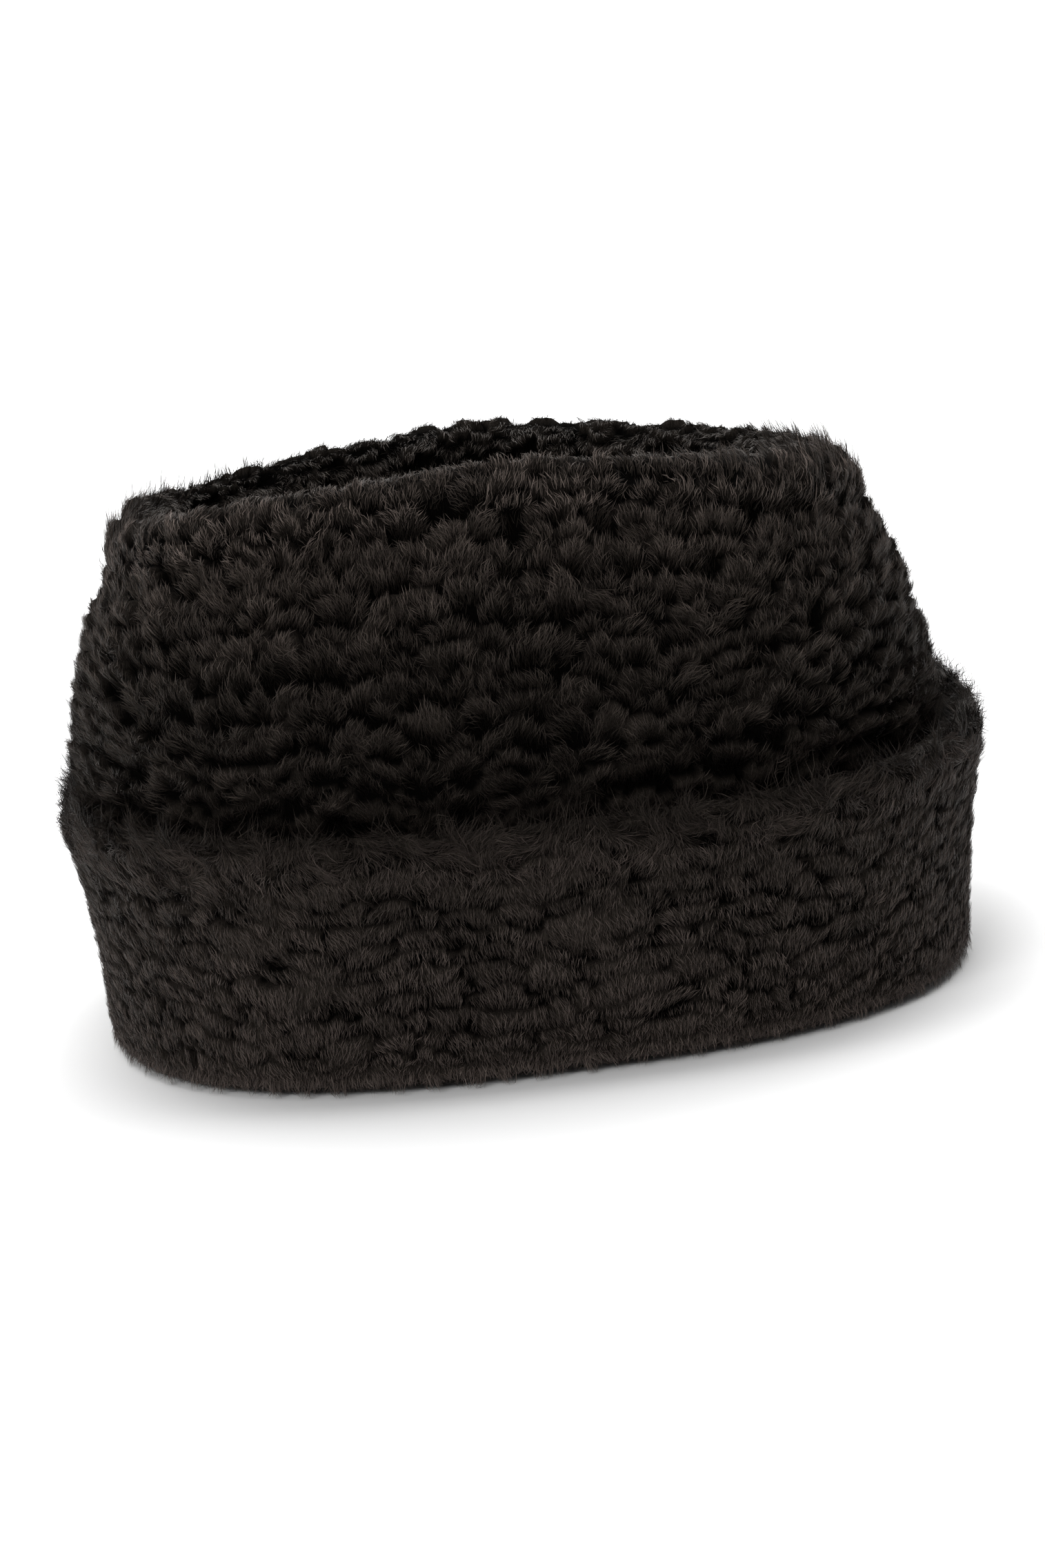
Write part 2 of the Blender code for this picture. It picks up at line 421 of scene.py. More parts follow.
def packed_strands_group():
    """Packed strands, with painted shade near black where the pile is thin: their colour and
    height.
    """
    group, given, made = new_group(
        "packed_strands",
        (("Place", "Vector"), ("Grain", "Vector"), ("Full", "Float"), ("Shaded Below", "Float")),
        (("Colour", "Color"), ("Height", "Float")),
    )
    nodes, links = group.nodes, group.links
    stretch = nodes.new("ShaderNodeVectorMath")
    stretch.operation = "MULTIPLY"
    strands = nodes.new("ShaderNodeTexNoise")
    strands.inputs["Scale"].default_value = 1.0
    strands.inputs["Detail"].default_value = 3.0
    strands.inputs["Roughness"].default_value = 0.65
    colours = nodes.new("ShaderNodeValToRGB")
    colours.color_ramp.elements[0].position = 0.32
    colours.color_ramp.elements[0].color = UNDER_DARK
    colours.color_ramp.elements[1].position = 0.72
    colours.color_ramp.elements[1].color = UNDER_LIGHT
    depth = nodes.new("ShaderNodeMapRange")
    depth.inputs["From Max"].default_value = 0.95
    depth.inputs["To Min"].default_value = 0.06
    depth.inputs["To Max"].default_value = 1.0
    shaded = nodes.new("ShaderNodeVectorMath")
    shaded.operation = "SCALE"
    links.new(given.outputs["Place"], stretch.inputs[0])
    links.new(given.outputs["Grain"], stretch.inputs[1])
    links.new(given.outputs["Full"], depth.inputs["Value"])
    links.new(given.outputs["Shaded Below"], depth.inputs["From Min"])
    links.new(stretch.outputs["Vector"], strands.inputs["Vector"])
    links.new(strands.outputs["Fac"], colours.inputs["Fac"])
    links.new(colours.outputs["Color"], shaded.inputs[0])
    links.new(depth.outputs["Result"], shaded.inputs["Scale"])
    links.new(shaded.outputs["Vector"], made.inputs["Colour"])
    links.new(strands.outputs["Fac"], made.inputs["Height"])
    return group


packed_strands = packed_strands_group()


def under_pile(name, grain, shaded_below):
    """The body of the pile, with packed strands of this grain and painted shade where the pile is
    thin.
    """
    material = bpy.data.materials.new(name)
    material.use_nodes = True
    nodes, links = material.node_tree.nodes, material.node_tree.links
    shader = nodes["Principled BSDF"]
    shader.inputs["Roughness"].default_value = 0.9
    shader.inputs["Specular IOR Level"].default_value = 0.02
    place = nodes.new("ShaderNodeTexCoord")
    fullness = nodes.new("ShaderNodeAttribute")
    fullness.attribute_name = "full"
    strands = nodes.new("ShaderNodeGroup")
    strands.node_tree = packed_strands
    strands.inputs["Grain"].default_value = grain
    strands.inputs["Shaded Below"].default_value = shaded_below
    bump = nodes.new("ShaderNodeBump")
    bump.inputs["Strength"].default_value = 0.7
    bump.inputs["Distance"].default_value = 0.0005
    links.new(place.outputs["Object"], strands.inputs["Place"])
    links.new(fullness.outputs["Fac"], strands.inputs["Full"])
    links.new(strands.outputs["Colour"], shader.inputs["Base Color"])
    links.new(strands.outputs["Height"], bump.inputs["Height"])
    links.new(bump.outputs["Normal"], shader.inputs["Normal"])
    return material


def plain_backing():
    """The plain black cloth inside the hat: a fine twill."""
    material = bpy.data.materials.new("plain_backing")
    material.use_nodes = True
    nodes, links = material.node_tree.nodes, material.node_tree.links
    shader = nodes["Principled BSDF"]
    shader.inputs["Roughness"].default_value = 0.7
    shader.inputs["Specular IOR Level"].default_value = 0.3
    place = nodes.new("ShaderNodeTexCoord")
    twill = nodes.new("ShaderNodeTexWave")
    twill.inputs["Scale"].default_value = 700.0
    twill.inputs["Distortion"].default_value = 0.6
    twill.inputs["Detail"].default_value = 2.0
    twill.bands_direction = "DIAGONAL"
    colours = nodes.new("ShaderNodeValToRGB")
    colours.color_ramp.elements[0].color = (0.006, 0.006, 0.0065, 1.0)
    colours.color_ramp.elements[1].color = (0.02, 0.0195, 0.02, 1.0)
    bump = nodes.new("ShaderNodeBump")
    bump.inputs["Strength"].default_value = 0.4
    bump.inputs["Distance"].default_value = 0.0002
    links.new(place.outputs["Object"], twill.inputs["Vector"])
    links.new(twill.outputs["Fac"], colours.inputs["Fac"])
    links.new(colours.outputs["Color"], shader.inputs["Base Color"])
    links.new(twill.outputs["Fac"], bump.inputs["Height"])
    links.new(bump.outputs["Normal"], shader.inputs["Normal"])
    return material


def back_with_cloth(piece, hidden):
    """Gives the plain backing to the faces that have two or more of the hidden vertices."""
    piece.data.materials.append(backing)
    faces = piece.data.polygons
    backed = [int(sum(hidden[v] for v in face.vertices) >= 2) for face in faces]
    faces.foreach_set("material_index", np.array(backed, np.int32))


SIDE_AROUND = 400
SIDE_STEP = 1.5
shown_ups = np.arange(PILE_START, SIDE_TOP, SIDE_STEP)
hidden_ups = (0.0, 10.0, 20.0, 32.0, 45.0)
side_ups = np.concatenate((hidden_ups, shown_ups, (SIDE_TOP,)))
lip_foot = (RIM_THICKNESS, TIP_EDGE - TIP_THICKNESS, RIM_FOOT)
wall_heights = (93.0, 81.0, 69.0, 45.0, 20.0, 0.0)
side_inside = np.array([lip_foot] + [(WALL, h, h) for h in wall_heights])
shape = spun_ring(len(side_ups) + len(side_inside), SIDE_AROUND, closed=True)
point, along = ring_places(shape, CROWN_GIRTH)
up = side_ups[np.minimum(point, len(side_ups) - 1)]
base, normal = outward(side_at, along, up)
full = crown_curls.full(*crown_curls.read(along, up))
stand = side_stand(full, along, up)
stand[up < PILE_START] = 0.0
stand[up >= SIDE_TOP] = 0.0
points = base + normal * stand[:, None]
inner = point >= len(side_ups)
rows = side_inside[point[inner] - len(side_ups)].T
bearing = np.interp(along[inner], CROWN_ALONG, CROWN_BEARINGS)
points[inner] = pressed(bearing, *rows)
under = under_pile("crown_under_pile", UPRIGHT_GRAIN, shaded_below=0.35)
crown_shell = finished("crown_side_cloth", shape, points, full, under)
backing = plain_backing()
back_with_cloth(crown_shell, inner)
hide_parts("crown_side")


# The pile itself is fine black hair, about 5 mm long, that runs up the cloth and curls over in
# locks. Each hair is a thin strip with a bend or two: its root lies deep, and its tip stands
# free. A hair's UV map holds its tone across, painted shade included, and its place from root
# to tip upwards.
def strand_shade_group():
    """The colour of a hair: its tint by its tone, with painted shade that makes it near black at
    the root.
    """
    group, given, made = new_group(
        "strand_shade", (("Strand", "Vector"), ("Tint", "Color")), (("Colour", "Color"),)
    )
    nodes, links = group.nodes, group.links
    parts = nodes.new("ShaderNodeSeparateXYZ")
    root = nodes.new("ShaderNodeMapRange")
    root.inputs["From Min"].default_value = 0.0
    root.inputs["From Max"].default_value = 0.85
    root.inputs["To Min"].default_value = 0.04
    root.inputs["To Max"].default_value = 1.0
    toned = nodes.new("ShaderNodeVectorMath")
    toned.operation = "SCALE"
    shaded = nodes.new("ShaderNodeVectorMath")
    shaded.operation = "SCALE"
    links.new(given.outputs["Strand"], parts.inputs["Vector"])
    links.new(given.outputs["Tint"], toned.inputs[0])
    links.new(parts.outputs["X"], toned.inputs["Scale"])
    links.new(parts.outputs["Y"], root.inputs["Value"])
    links.new(toned.outputs["Vector"], shaded.inputs[0])
    links.new(root.outputs["Result"], shaded.inputs["Scale"])
    links.new(shaded.outputs["Vector"], made.inputs["Colour"])
    return group


strand_shade = strand_shade_group()
STRAND_MAP = "OFBake"
SHEEN_TINT = (1.0, 0.84, 0.70, 1.0)


def hair(name, tint, shine):
    """Soft black hair with a warm shine."""
    material = bpy.data.materials.new(name)
    material.use_nodes = True
    nodes, links = material.node_tree.nodes, material.node_tree.links
    shader = nodes["Principled BSDF"]
    shader.inputs["Roughness"].default_value = 0.5
    shader.inputs["Specular IOR Level"].default_value = shine
    shader.inputs["Specular Tint"].default_value = SHEEN_TINT
    strand = nodes.new("ShaderNodeUVMap")
    strand.uv_map = STRAND_MAP
    shade = nodes.new("ShaderNodeGroup")
    shade.node_tree = strand_shade
    shade.inputs["Tint"].default_value = (*tint, 1.0)
    links.new(strand.outputs["UV"], shade.inputs["Strand"])
    links.new(shade.outputs["Colour"], shader.inputs["Base Color"])
    return material


# Each place steps on by these shares of the two sides, which fill a rectangle evenly
EVEN_STEPS = (0.7548776662466927, 0.5698402909980532)


def spread(count, along_span, up_span):
    """Places spread evenly over a rectangle of a cloth, in no visible order."""
    i = np.arange(count)
    along = along_span[0] + (along_span[1] - along_span[0]) * ((0.5 + EVEN_STEPS[0] * i) % 1.0)
    up = up_span[0] + (up_span[1] - up_span[0]) * ((0.5 + EVEN_STEPS[1] * i) % 1.0)
    return along, up


# How far a hair strays from its place, and how much one hair differs from another
PLACE_JITTER = 0.3
LENGTH_SPREAD = (0.65, 1.2)
WIDTH_SPREAD = (0.75, 1.25)
# The least that a hair's tip stands off, and how much more the boldest does
TIP_STAND = (0.3, 2.0)
TONE_SPREAD = (0.4, 1.15)
TONE_BIAS = 1.8
TONE_LIMITS = (0.01, 0.98)
# No hair comes nearer to the floor than this
LOWEST = 0.3


def lay_pile(name, cloth, places, count, style, seed, material):
    """Lays up to count hairs with their tips at places of a cloth, and hands them over.

    A hair starts at its tip, which stands a little proud of the lock's fringe, and is followed
    down the lock to its root. In a style, bare_below is how full the pile has to be for hairs to
    grow everywhere, and lifts is how high the tip, middle and root stand off the pile. sweep and
    stray turn the hairs, roll lays a strip on its side, and knots counts its bends.
    """
    draw = np.random.default_rng(seed)
    curls, fill, stand_at = cloth["curls"], cloth["fill"], cloth["stand"]
    along, up = (v + draw.uniform(-PLACE_JITTER, PLACE_JITTER, len(v)) for v in places)
    lock, across, below, above = curls.read(along, up)
    full = fill(curls.full(lock, across, below, above), along, up)
    kept = np.flatnonzero(full > draw.uniform(0.0, style["bare_below"], len(full)))[:count]
    along, up, lock, across, below, above, full = (
        v[kept] for v in (along, up, lock, across, below, above, full)
    )
    count = len(kept)
    length = style["length"](along, up) * draw.uniform(*LENGTH_SPREAD, count)
    heading = curls.lean[lock] + draw.normal(0.0, style["stray"], count)
    fan = curls.fan[lock] * across
    fringe = style["fringe"] * draw.uniform(0.0, 1.0, count) ** 2
    along, up = along + fringe * np.sin(heading + fan), up + fringe * np.cos(heading + fan)
    bend = draw.normal(0.0, style["curl"], count)
    lift = TIP_STAND[0] + TIP_STAND[1] * draw.uniform(0.0, 1.0, count) ** 2
    hoist = lift * style["stand_up"](along, up)
    knots = style["knots"]
    a, v = along, up
    line = []
    for knot in range(knots + 2):
        share = knot / (knots + 1.0)
        depth = np.maximum(below + up - fringe - v, 0.5 * FRINGE_DEPTH)
        here = fill(curls.full(lock, across, depth, above), a, v)
        base, normal = outward(cloth["at"], a, v)
        stand = stand_at(here, a, v) + lift * np.interp(share, (0.0, 0.5, 1.0), style["lifts"])
        stand = stand + lift * (1.0 - share) ** 2 * style["stand_out"](a, v)
        point = base + normal * stand[:, None]
        point[:, 2] += hoist * (1.0 - share) ** 1.5
        line.append(point)
        turn = heading + fan * (1.4 - share) + style["sweep"](a, v) + bend * (share - 0.3)
        a = a - length / (knots + 1.0) * np.sin(turn)
        v = v - length / (knots + 1.0) * np.cos(turn)
    way = line[0] - line[-1]
    way /= np.linalg.norm(way, axis=1, keepdims=True) + 1e-9
    side = np.cross(way, normal)
    side /= np.linalg.norm(side, axis=1, keepdims=True) + 1e-9
    roll = draw.uniform(-style["roll"], style["roll"], count)[:, None]
    side = side * np.cos(roll) + np.cross(way, side) * np.sin(roll)
    half = style["width"] / 2.0 * draw.uniform(*WIDTH_SPREAD, count)[:, None] * side
    columns = [line[0]]
    for middle in line[1:-1]:
        columns += [middle - half, middle + half]
    verts = np.stack(columns + [line[-1]], axis=1)
    verts[:, :, 2] = np.maximum(verts[:, :, 2], LOWEST)
    # A hair's tone is the style's painted shade, by how full the pile is and how high in its lock
    # the hair lies, times its lock's tone and a spread.
    high = np.clip(1.0 - below / (1.2 * curls.pitch), 0.0, 1.0)
    tone = style["tone"](full, high, along, up) * curls.tone[lock]
    tone = tone * draw.uniform(*TONE_SPREAD, count) ** TONE_BIAS
    mesh = strips(name, verts, np.clip(tone, *TONE_LIMITS), knots)
    mesh.materials.append(material)
    piece = bpy.data.objects.new(name, mesh)
    bpy.context.scene.collection.objects.link(piece)
    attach(piece, "root")


# A strip's chart is this wide, and runs from its tip above to its root below
CHART_WIDTH = 0.006
CHART_TIP, CHART_ROOT = 0.98, 0.02


def strips(name, verts, tone, knots):
    """A mesh of thin strips, one for each row of vertices, whose UV map holds their tones."""
    count, each = verts.shape[:2]
    faces, sizes, heights = strip_faces(knots)
    corners = (np.arange(count)[:, None] * each + np.array(faces)).ravel()
    starts = (np.arange(count)[:, None] * len(faces) + (np.cumsum(sizes) - sizes)).ravel()
    mesh = bpy.data.meshes.new(name)
    mesh.vertices.add(count * each)
    mesh.vertices.foreach_set("co", (verts * MM).astype(np.float32).ravel())
    mesh.loops.add(len(corners))
    mesh.loops.foreach_set("vertex_index", corners.astype(np.int32))
    mesh.polygons.add(len(starts))
    mesh.polygons.foreach_set("loop_start", starts.astype(np.int32))
    mesh.update(calc_edges=True)
    u = np.repeat(tone[:, None], len(faces), axis=1) + CHART_WIDTH * (np.array(faces) % 2)
    v = np.tile(np.array(heights), (count, 1))
    chart = mesh.uv_layers.new(name=STRAND_MAP)
    chart.data.foreach_set("uv", np.stack((u, v), axis=-1).astype(np.float32).ravel())
    mesh.shade_smooth()
    return mesh


def strip_faces(knots):
    """(corners, face sizes, height of each corner up the hair) of a strip, tip first."""
    last = 2 * knots + 1
    shares = [(k + 1) / (knots + 1.0) for k in range(knots)]
    levels = [CHART_TIP + (CHART_ROOT - CHART_TIP) * share for share in shares]
    corners, sizes, heights = [0, 1, 2], [3], [CHART_TIP, levels[0], levels[0]]
    for k in range(knots - 1):
        corners += [2 * k + 1, 2 * k + 3, 2 * k + 4, 2 * k + 2]
        sizes.append(4)
        heights += [levels[k], levels[k + 1], levels[k + 1], levels[k]]
    corners += [last - 2, last, last - 1]
    sizes.append(3)
    heights += [levels[-1], CHART_ROOT, levels[-1]]
    return corners, sizes, heights


# A front half shows best, and has more and finer hairs. SPARE is how many more places than
# hairs are tried, as the creases between the locks stay bare.
SPARE = 1.5
CROWN_HAIRS = {"back": 45000, "front": 94000}
HAIR_WIDTHS = {"back": 0.17, "front": 0.12}


def lay_halves(name, cloth, counts, girth, ups, style, seed, material):
    """Lays the pile of a band all round the hat, as a back half and a front half."""
    for i, half_name in enumerate(("back", "front")):
        count = counts[half_name]
        places = spread(round(SPARE * count), (i * girth / 2.0, (i + 1) * girth / 2.0), ups)
        half_style = dict(style, width=HAIR_WIDTHS[half_name])
        lay_pile(name + half_name, cloth, places, count, half_style, seed + i, material)


def as_it_is(full, along, up):
    """The pile is as full as its locks make it."""
    return full


def no_more(along, up):
    """The tips stand no further out or up than the lifts say."""
    return 0.0


def crown_painted_shade(full, high, along, up):
    """Painted shade on the crown's hairs: dark in the creases and low in each lock, so they are
    lightest along the fringes, and darker down towards the cuff.
    """
    raised = np.clip((up - 85.0) / 30.0, 0.0, 1.0)
    return (0.05 + 0.95 * full ** 1.2) * (0.05 + 0.95 * high ** 2.0) * (0.44 + 0.56 * raised)


crown_sweep = ripples(31, CROWN_GIRTH, 80.0, 14.0)
SIDE_CLOTH = {
    "at": side_at,
    "curls": crown_curls,
    "fill": as_it_is,
    "stand": side_stand,
    "slot": "crown_pile",
}
# Both halves of a band set their own width in place of this one
CROWN_STYLE = {
    "bare_below": 0.25,
    "length": lambda along, up: 4.6,
    "fringe": 1.5,
    "width": HAIR_WIDTHS["front"],
    "sweep": lambda along, up: 0.3 * crown_sweep(along, up),
    "stray": 0.22,
    "curl": 0.7,
    "lifts": (0.8, 0.4, -0.6),
    "stand_out": no_more,
    "stand_up": no_more,
    "roll": 0.9,
    "knots": 1,
    "tone": crown_painted_shade,
}
CROWN_TINT = (0.172, 0.1360, 0.1190)
CROWN_SHINE = 0.28
crown_hair = hair("crown_hair", CROWN_TINT, CROWN_SHINE)
crown_ups = (PILE_START + 2.0, ROLL_START + 2.0)
lay_halves(
    "crown_side_pile_", SIDE_CLOTH, CROWN_HAIRS, CROWN_GIRTH, crown_ups, CROWN_STYLE, 51, crown_hair
)

# The rim's curls are shorter and catch the most light, which is also painted into their colour, and
# stand in tufts at its two ends.
RIM_HAIRS = 70000
rim_tufts = ripples(68, CROWN_GIRTH, 32.0, 6.0)


def rim_painted_light_and_shade(full, high, along, up):
    """Painted light over the crown's painted shade on the rim's outer side, where light falls on
    top, and painted shade where it turns down to the tip.
    """
    turned_in = np.clip((up - (ROLL_START + ROLL_END) / 2.0 + 2.0) / 7.0, 0.0, 1.0)
    return 1.35 * crown_painted_shade(full, high, along, up) * (1.0 - 0.72 * turned_in)


def rim_stand_up(along, up):
    """How far the tips stand up in tufts, at the two ends of the rim."""
    bearing = np.interp(along % CROWN_GIRTH, CROWN_ALONG, CROWN_BEARINGS)
    at_ends = np.clip(2.2 * np.abs(np.cos(bearing + 0.3)) - 1.1, 0.0, 1.0)
    return 3.2 * at_ends * np.clip(rim_tufts(along, up), 0.0, 1.0)


RIM_STYLE = dict(
    CROWN_STYLE,
    length=lambda along, up: 3.6,
    width=0.16,
    stray=0.25,
    curl=0.8,
    lifts=(0.5, 0.3, -0.6),
    tone=rim_painted_light_and_shade,
    stand_up=rim_stand_up,
)
# The rim's hairs have a lighter tint than the crown's: painted light, where light falls on the rim.
rim_hair_painted_light = hair("rim_hair_painted_light", (0.220, 0.1760, 0.1560), 0.26)
places = spread(round(SPARE * RIM_HAIRS), (0.0, CROWN_GIRTH), (ROLL_START - 1.0, SIDE_TOP - 1.0))
lay_pile("rim_pile", SIDE_CLOTH, places, RIM_HAIRS, RIM_STYLE, 53, rim_hair_painted_light)


# The crown's tip is an oval panel of the same pile fabric, sewn in below the rim and dished.
# Its curls lie in rows across the hat.
SEAM_GAP = 0.4
TIP_SAG = 9.0
LEVEL_GRAIN = (4200.0, 500.0, 4200.0)
TIP_AROUND = 230
TIP_RINGS = 46
TIP_REACH = 300.0
tip_curls = Locks(21, TIP_REACH, TIP_REACH, **CURLS)
TIP_INSET = RIM_THICKNESS + SEAM_GAP


def tip_radius(bearing, inset):
    """Distance from the axis to the oval this far inside the rim's outer edge."""
    half_width, half_depth, squareness = form_at(RIM_FOOT)[:3]
    return oval_radius(bearing, half_width - inset, half_depth - inset, squareness)


def tip_at(along, up):
    """Points on the tip's upper side. Here a place counts from a corner of a square round it."""
    x, y = along - TIP_REACH / 2.0, up - TIP_REACH / 2.0
    bearing = np.arctan2(y, x)
    radius = np.hypot(x, y)
    share = np.minimum(radius / tip_radius(bearing, TIP_INSET), 1.0)
    height = TIP_EDGE - TIP_SAG * (1.0 - share * share * (3.0 - 2.0 * share))
    z = arched(bearing, radius, height)
    return np.stack((x + RIM_LEAN + FORM_CENTRE[0], y + FORM_CENTRE[1], z), axis=-1)


def tip_stand(full, along, up):
    """How far the body of the pile stands off the cloth of the tip."""
    return full * CURL_RISE - CURL_SINK


under_shares = (1.0, 0.75, 0.5, 0.25, 0.0)
shares = np.concatenate((np.linspace(0.0, 1.0, TIP_RINGS), under_shares))
shape = spun_ring(len(shares), TIP_AROUND, closed=False)
point, along = ring_places(shape, 1.0)
bearing = along * math.tau
below = point >= TIP_RINGS
share = shares[point]
radius = share * tip_radius(bearing, TIP_INSET)
along = radius * np.cos(bearing) + TIP_REACH / 2.0
up = radius * np.sin(bearing) + TIP_REACH / 2.0
points = tip_at(along, up)
full = tip_curls.full(*tip_curls.read(along, up))
stand = tip_stand(full, along, up)
points[:, 2] += np.where(below, -TIP_THICKNESS, np.where(share < 1.0, stand, 0.0))
under = under_pile("tip_under_pile", LEVEL_GRAIN, shaded_below=0.2)
tip_shell = finished("crown_tip_cloth", shape, points, full, under)
back_with_cloth(tip_shell, below)
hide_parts("crown_tip")

TIP_HAIRS = 26000
TIP_BARE_EDGE = 2.5
tip_sweep = ripples(32, TIP_REACH, 80.0, 14.0)
TIP_CLOTH = {
    "at": tip_at,
    "curls": tip_curls,
    "fill": as_it_is,
    "stand": tip_stand,
    "slot": "tip_pile",
}
TIP_STYLE = dict(CROWN_STYLE, sweep=lambda along, up: 0.3 * tip_sweep(along, up))
half_width, half_depth = form_at(RIM_FOOT)[:2]
x, y = spread(2 * TIP_HAIRS, (-half_width, half_width), (-half_depth, half_depth))
inside = np.hypot(x, y) < tip_radius(np.arctan2(y, x), TIP_INSET + TIP_BARE_EDGE)
places = (x[inside] + TIP_REACH / 2.0, y[inside] + TIP_REACH / 2.0)
tip_hair = hair("tip_hair", CROWN_TINT, CROWN_SHINE)
lay_pile("tip_pile", TIP_CLOTH, places, TIP_HAIRS, TIP_STYLE, 54, tip_hair)


# The cuff is a deep band of the same fabric, turned up round the foot and folded over at its
# top. Its pile is brushed into long low waves, and stands up in a ruff along the fold.
CUFF_HEIGHT = 58.0
# stand-off from the crown, height: from the foot's outer edge up and over the fold
CUFF_OUTSIDE = np.array((
    (0.4, 0.0),
    (9.9, 0.0),
    (11.4, 1.8),
    (12.0, 6.0),
    (11.5, 15.0),
    (11.0, 24.0),
    (10.6, 32.0),
    (10.4, 40.0),
    (10.5, 47.0),
    (9.9, 52.5),
    (7.6, 56.4),
    (4.6, 58.0),
    (2.0, 56.6),
))
CUFF_LINING_TOP = 52.0
# height of the fold and how much further it stands off there, every 45 degrees from bearing 0
FOLD_HEIGHT = np.array((66.3, 69.3, 66.5, 61.2, 65.4, 61.2, 56.0, 59.0))
FOLD_FLARE = np.array((0.18, 0.12, 0.0, -0.2, -0.3, -0.2, 0.0, 0.12))
# how much flatter the pile of the cuff lies, and how far its edge stands off the floor
CUFF_FLAT = np.array((0.0, 0.0, 0.0, 0.8, 1.6, 0.8, 0.7, 0.2))
FOOT_LIFT = np.array((1.1, 1.1, 1.1, 1.1, 1.1, 1.3, 1.7, 1.3))
FOOT_CLEARANCE = 0.5
FOOT_LIFT_REACH = 12.0
CUFF_UP = lengths_of(CUFF_OUTSIDE)
CUFF_FOOT = CUFF_UP[1]
CUFF_FOLD = CUFF_UP[10]
CUFF_TOP = CUFF_UP[-1]
# The oval half way up the cuff, along which places on it are measured
CUFF_MIDDLE = 30.0
CUFF_STAND_OFF = 11.0
half_width, half_depth, squareness = form_at(CUFF_MIDDLE)[:3]
CUFF_BEARINGS, CUFF_ALONG = bearings_round(
    half_width + CUFF_STAND_OFF, half_depth + CUFF_STAND_OFF, squareness
)
CUFF_GIRTH = CUFF_ALONG[-1]


def cuff_at(along, up):
    """Points on the cuff's outside, from under its foot up and over the fold."""
    bearing = np.interp(along % CUFF_GIRTH, CUFF_ALONG, CUFF_BEARINGS)
    stand_off, height = (np.interp(up, CUFF_UP, column) for column in CUFF_OUTSIDE.T)
    share = height / CUFF_HEIGHT
    stand_off = stand_off * (1.0 + round_the_hat(FOLD_FLARE, bearing) * share)
    stand_off = stand_off - round_the_hat(CUFF_FLAT, bearing)
    height = round_the_hat(FOLD_HEIGHT, bearing) * share
    near_foot = np.clip(1.0 - height / FOOT_LIFT_REACH, 0.0, 1.0)
    height = height + round_the_hat(FOOT_LIFT, bearing) * near_foot
    return pressed(bearing, -stand_off, height, height)


WAVE_RISE = 3.2
WAVE_SINK = 3.3
cuff_waves = Locks(
    61,
    CUFF_GIRTH,
    CUFF_TOP,
    pitch=4.6,
    widths=(5.5, 14.0),
    arch=(0.5, 2.4),
    jitter=0.75,
    lean=0.15,
    fan=(0.0, 0.4),
    lows=0.8,
    fade=(10.0, 4.0),
    notch=0.2,
    gap=2.2,
)
crease_fade = ripples(64, CUFF_GIRTH, 90.0, 15.0)
ruff_edge = ripples(65, CUFF_GIRTH, 70.0, 18.0)


def ruff_at(along, up):
    """0 in the waves of the cuff and 1 in the ruff along its fold."""
    return np.clip((up - CUFF_FOLD + 9.0 + 4.0 * ruff_edge(along, up)) / 7.0, 0.0, 1.0)


def crease_depth(along, up):
    """How deep the creases are: they come and go, and end at the foot."""
    depth = np.clip(0.95 + 0.5 * crease_fade(along, up), 0.3, 1.0)
    at_foot = np.clip((up - CUFF_FOOT) / 11.0, 0.0, 1.0)
    return depth * at_foot * (1.0 - 0.25 * ruff_at(along, up))


def cuff_fill(full, along, up):
    """The waves of the cuff are full up to narrow creases."""
    return 1.0 - crease_depth(along, up) * (1.0 - full)


def cuff_stand(full, along, up):
    """How far the body of the pile stands off the cuff: less at the foot, where it is thin."""
    clear = np.clip((up - CUFF_FOOT) / 4.0, 0.0, 1.0)
    rise, sink = 0.6 + clear * (WAVE_RISE - 0.6), 0.9 + clear * (WAVE_SINK - 0.9)
    return full * rise - sink - 0.7 * ruff_at(along, up)


CUFF_AROUND = 420
CUFF_STEP = 1.4
shown_ups = np.arange(CUFF_FOOT, CUFF_TOP, CUFF_STEP)
cuff_ups = np.concatenate(((0.0, CUFF_FOOT / 2.0), shown_ups, (CUFF_TOP,)))
inside_heights = (CUFF_LINING_TOP, 45.0, 32.0, 20.0, 10.0, 0.0)
cuff_inside = np.array([(-SEAM_GAP, h, h) for h in inside_heights])
shape = spun_ring(len(cuff_ups) + len(cuff_inside), CUFF_AROUND, closed=True)
point, along = ring_places(shape, CUFF_GIRTH)
up = cuff_ups[np.minimum(point, len(cuff_ups) - 1)]
base, normal = outward(cuff_at, along, up)
full = cuff_fill(cuff_waves.full(*cuff_waves.read(along, up)), along, up)
stand = cuff_stand(full, along, up)
stand[(up >= CUFF_TOP) | (up <= 0.0)] = 0.0
points = base + normal * stand[:, None]
inner = point >= len(cuff_ups)
bearing = np.interp(along, CUFF_ALONG, CUFF_BEARINGS)
points[inner] = pressed(bearing[inner], *cuff_inside[point[inner] - len(cuff_ups)].T)
points[:, 2] = np.maximum(points[:, 2], FOOT_CLEARANCE + round_the_hat(FOOT_LIFT, bearing))
under = under_pile("cuff_under_pile", UPRIGHT_GRAIN, shaded_below=0.45)
cuff_shell = finished("cuff_cloth", shape, points, full, under)
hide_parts("cuff")

CUFF_HAIRS = {"back": 45000, "front": 94000}
RUFF_HAIRS = 22000
cuff_sweep = ripples(33, CUFF_GIRTH, 60.0, 11.0)
ruff_sweep = ripples(34, CUFF_GIRTH, 50.0, 12.0)


def cuff_heading(along, up):
    """The hairs lean a little in the waves, and every way in the ruff along the fold."""
    ruff = ruff_at(along, up)
    return (1.0 - ruff) * 0.25 * cuff_sweep(along, up) + ruff * 1.9 * ruff_sweep(along, up)


